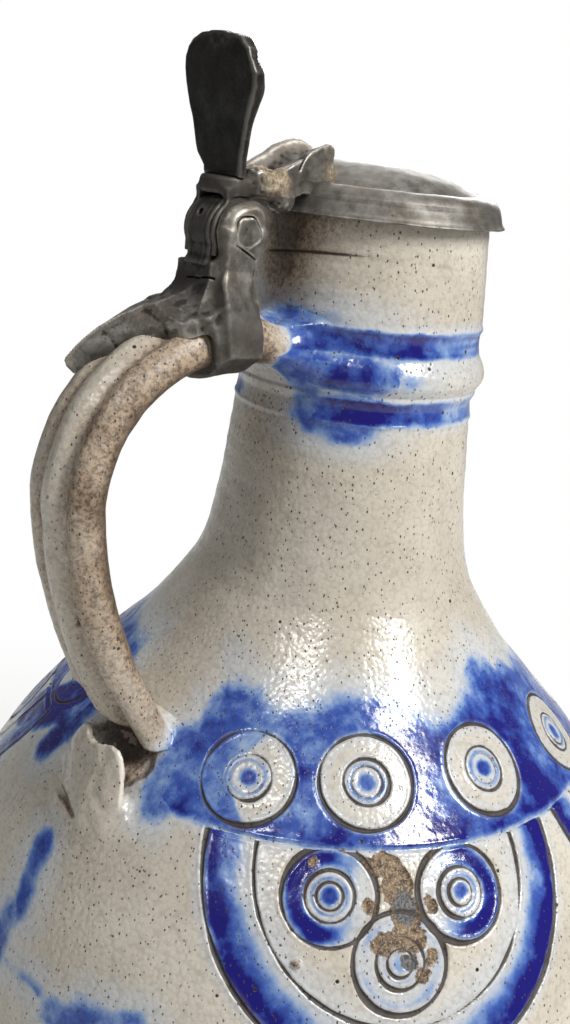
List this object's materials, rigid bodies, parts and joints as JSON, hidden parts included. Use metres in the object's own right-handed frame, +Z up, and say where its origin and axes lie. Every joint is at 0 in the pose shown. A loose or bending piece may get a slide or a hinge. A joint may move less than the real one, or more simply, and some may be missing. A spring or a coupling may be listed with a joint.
{
  "type": "stoneware jug with hinged lid",
  "caption": "Large salt-glazed stoneware jug with a fluted strap handle and a hinged pewter lid with thumbpiece.",
  "frame": {"origin": "centre of the foot ring's flat underside, on the axis of the turned body", "axes": "+Z up along the body's axis, -X towards the handle, the lid's pin along Y"},
  "size_m": [0.224, 0.224, 0.3721],
  "materials": {
    "glazed_stoneware": "gloss",
    "bare_stoneware": "satin",
    "pewter": "satin",
    "worn_pewter": "satin"
  },
  "bodies": {
    "jug": {"jug_body": "glazed_stoneware", "handle": "bare_stoneware", "handle_scroll": "bare_stoneware", "handle_band": "worn_pewter", "handle_tongue": "pewter", "hinge_stand": "pewter", "hinge_block": "pewter", "hinge_cheek": "worn_pewter", "hinge_pin": "pewter", "pin_plug": "worn_pewter"},
    "lid_group": {"lid": "pewter", "lid_arm": "worn_pewter", "near_leaf": "pewter", "far_leaf": "pewter", "thumb_collar": "pewter", "thumbpiece": "pewter"}
  },
  "joints": [
    {"name": "lid_hinge", "type": "hinge", "parent": "jug", "child": "lid_group", "pos_m": [-0.0535, 0, 0.328], "axis": [0, -1, 0], "range_deg": [0, 100]}
  ]
}
